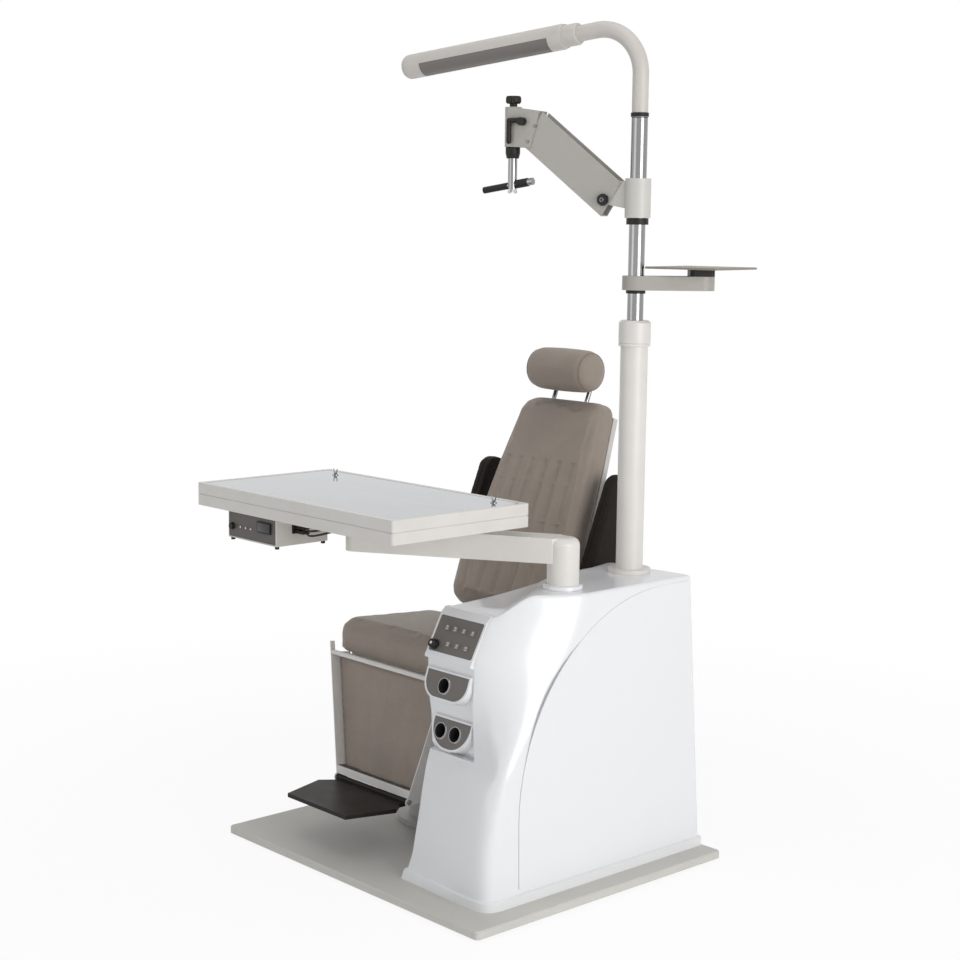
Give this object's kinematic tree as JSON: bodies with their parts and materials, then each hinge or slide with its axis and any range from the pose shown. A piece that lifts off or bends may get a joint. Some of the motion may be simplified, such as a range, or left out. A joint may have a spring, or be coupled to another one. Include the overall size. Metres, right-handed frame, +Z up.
{
  "type": "ophthalmic examination chair",
  "caption": "Examination chair with a moulded console on one base plate, a swing-in instrument table, and a column carrying a shelf, a balanced instrument arm and a bent lamp.",
  "frame": {"origin": "centre of the base plate's footprint, on the floor under the middle foot pad", "axes": "+Z up; the chair faces -Y; the console and the column stand on the +X side"},
  "size_m": [0.9701, 0.975, 1.972],
  "materials": {
    "base_paint": "satin powder coat",
    "console_white": "glossy moulded",
    "column_paint": "satin powder coat",
    "arm_paint": "satin powder coat",
    "lamp_paint": "satin powder coat",
    "chrome": "polished",
    "steel": "brushed",
    "black": "matte",
    "dark_panel": "satin",
    "box_grey": "satin powder coat",
    "leather": "soft grained",
    "dark_leather": "soft grained",
    "table_mirror": "mirror-bright glass",
    "diffuser": "opal",
    "rubber": "matte",
    "cable": "matte"
  },
  "bodies": {
    "stand": {"base_plate": "base_paint", "base_feet": "rubber", "console_shell": "console_white", "console_head": "console_white", "side_panel": "console_white", "keypad_plate": "dark_panel", "pod_rims": "console_white", "pod_plates": "dark_panel", "pod_cups": "chrome", "table_spindle": "steel", "column_tube": "column_paint", "column_collar": "column_paint", "pole": "chrome", "pole_rings": "black", "lift_base": "base_paint"},
    "panel_knob": {"panel_knob": "black"},
    "table": {"table_arm": "column_paint", "table_mount": "column_paint", "table_frame": "column_paint", "table_glass": "table_mirror", "table_clips": "steel", "control_box": "box_grey", "box_panel": "dark_panel", "box_fittings": "black", "box_leads": "cable"},
    "box_knob": {"box_knob": "black"},
    "chair": {"lift_ram": "steel", "seat_frame": "base_paint", "seat_cushion": "leather", "chair_pins": "steel", "leg_frame": "column_paint", "leg_pad": "leather", "foot_bolts": "steel"},
    "backrest": {"back_frame": "base_paint", "back_cushion": "leather", "armrest_pins": "steel"},
    "headrest": {"headrest_stays": "chrome", "headrest_bolster": "leather"},
    "armrest_left": {"armrest_left": "dark_leather"},
    "armrest_right": {"armrest_right": "dark_leather"},
    "footrest": {"footrest": "black"},
    "arm_clamp": {"arm_clamp": "arm_paint", "clamp_pins": "steel"},
    "arm_channel": {"arm_channel": "arm_paint"},
    "arm_link": {"arm_link": "arm_paint"},
    "arm_head": {"arm_head": "arm_paint", "head_pins": "steel", "head_nose": "black"},
    "tension_knob": {"tension_knob": "black"},
    "star_knob": {"star_knob": "black"},
    "clamp_lever": {"clamp_lever": "black"},
    "instrument_pin": {"instrument_pin": "chrome"},
    "cross_rod": {"rod_core": "chrome", "rod_sleeves": "black"},
    "thumb_screw": {"thumb_screw": "chrome"},
    "lamp": {"lamp_tube": "lamp_paint"},
    "lamp_head": {"lamp_housing": "lamp_paint", "lamp_diffuser": "diffuser"},
    "shelf": {"shelf_bracket": "arm_paint", "shelf_block": "black", "shelf_plate": "lamp_paint"}
  },
  "joints": [
    {"name": "panel_knob_turn", "type": "hinge", "parent": "stand", "child": "panel_knob", "pos_m": [0.12809, -0.23422, 0.56334], "axis": [0, -0.8844, 0.4668], "continuous": true},
    {"name": "table_swing", "type": "hinge", "parent": "stand", "child": "table", "pos_m": [0.3, -0.002, 0.7], "axis": [0, 0, 1], "range_deg": [-8, 100]},
    {"name": "box_knob_turn", "type": "hinge", "parent": "table", "child": "box_knob", "pos_m": [-0.38284, -0.42996, 0.78772], "axis": [0, -1, 0], "continuous": true},
    {"name": "chair_lift", "type": "slide", "parent": "stand", "child": "chair", "axis": [0, 0, 1], "range_m": [-0.05, 0.13]},
    {"name": "back_recline", "type": "hinge", "parent": "chair", "child": "backrest", "pos_m": [-0.17, 0.265, 0.462], "axis": [-1, 0, 0], "range_deg": [-10, 25]},
    {"name": "headrest_slide", "type": "slide", "parent": "backrest", "child": "headrest", "axis": [0, 0.3697, 0.9291], "range_m": [0, 0.06]},
    {"name": "armrest_left_fold", "type": "hinge", "parent": "backrest", "child": "armrest_left", "pos_m": [-0.4, 0.3802, 0.66224], "axis": [1, 0, 0], "range_deg": [0, 108]},
    {"name": "armrest_right_fold", "type": "hinge", "parent": "backrest", "child": "armrest_right", "pos_m": [0.06, 0.3802, 0.66224], "axis": [1, 0, 0], "range_deg": [0, 108]},
    {"name": "footrest_fold", "type": "hinge", "parent": "chair", "child": "footrest", "pos_m": [-0.17, -0.172, 0.14], "axis": [-1, 0, 0], "range_deg": [0, 80]},
    {"name": "arm_swivel", "type": "hinge", "parent": "stand", "child": "arm_clamp", "pos_m": [0.258, 0.262, 1.567], "axis": [0, 0, 1], "range_deg": [-100, 100]},
    {"name": "arm_lift", "type": "hinge", "parent": "arm_clamp", "child": "arm_channel", "pos_m": [0.17976, 0.24104, 1.563], "axis": [-0.2588, 0.9659, 0], "range_deg": [-53, 12]},
    {"name": "arm_link_turn", "type": "hinge", "parent": "arm_clamp", "child": "arm_link", "pos_m": [0.19908, 0.24621, 1.599], "axis": [-0.2588, 0.9659, 0], "range_deg": [-53, 12]},
    {"name": "arm_head_level", "type": "hinge", "parent": "arm_channel", "child": "arm_head", "pos_m": [-0.02022, 0.18745, 1.69899], "axis": [-0.2588, 0.9659, 0], "range_deg": [-12, 53]},
    {"name": "tension_knob_turn", "type": "hinge", "parent": "arm_clamp", "child": "tension_knob", "pos_m": [0.17976, 0.24104, 1.563], "axis": [0.2588, -0.9659, 0], "continuous": true},
    {"name": "star_knob_turn", "type": "hinge", "parent": "arm_head", "child": "star_knob", "pos_m": [-0.07141, 0.17374, 1.8], "axis": [0, 0, 1], "continuous": true},
    {"name": "clamp_lever_turn", "type": "hinge", "parent": "arm_head", "child": "clamp_lever", "pos_m": [-0.03277, 0.18409, 1.74599], "axis": [0.2588, -0.9659, 0], "range_deg": [-60, 45]},
    {"name": "instrument_pin_turn", "type": "hinge", "parent": "arm_head", "child": "instrument_pin", "pos_m": [-0.07141, 0.17374, 1.64], "axis": [0, 0, 1], "range_deg": [-170, 170]},
    {"name": "cross_rod_roll", "type": "hinge", "parent": "instrument_pin", "child": "cross_rod", "pos_m": [-0.07141, 0.17374, 1.59771], "axis": [-0.954, -0.2556, -0.1564], "range_deg": [-45, 45]},
    {"name": "thumb_screw_turn", "type": "hinge", "parent": "instrument_pin", "child": "thumb_screw", "pos_m": [-0.07141, 0.17374, 1.586], "axis": [0, 0, 1], "continuous": true},
    {"name": "lamp_swivel", "type": "hinge", "parent": "stand", "child": "lamp", "pos_m": [0.258, 0.262, 1.79], "axis": [0, 0, 1], "range_deg": [-120, 120]},
    {"name": "lamp_roll", "type": "hinge", "parent": "lamp", "child": "lamp_head", "pos_m": [0.14375, 0.23562, 1.95228], "axis": [-0.9677, -0.2234, -0.1167], "range_deg": [-90, 90]},
    {"name": "shelf_swivel", "type": "hinge", "parent": "stand", "child": "shelf", "pos_m": [0.258, 0.262, 1.37], "axis": [0, 0, 1], "range_deg": [-60, 60]}
  ],
  "couplings": [
    {"joint": "arm_link_turn", "follows": "arm_lift", "ratio": 1},
    {"joint": "arm_head_level", "follows": "arm_lift", "ratio": -1}
  ]
}
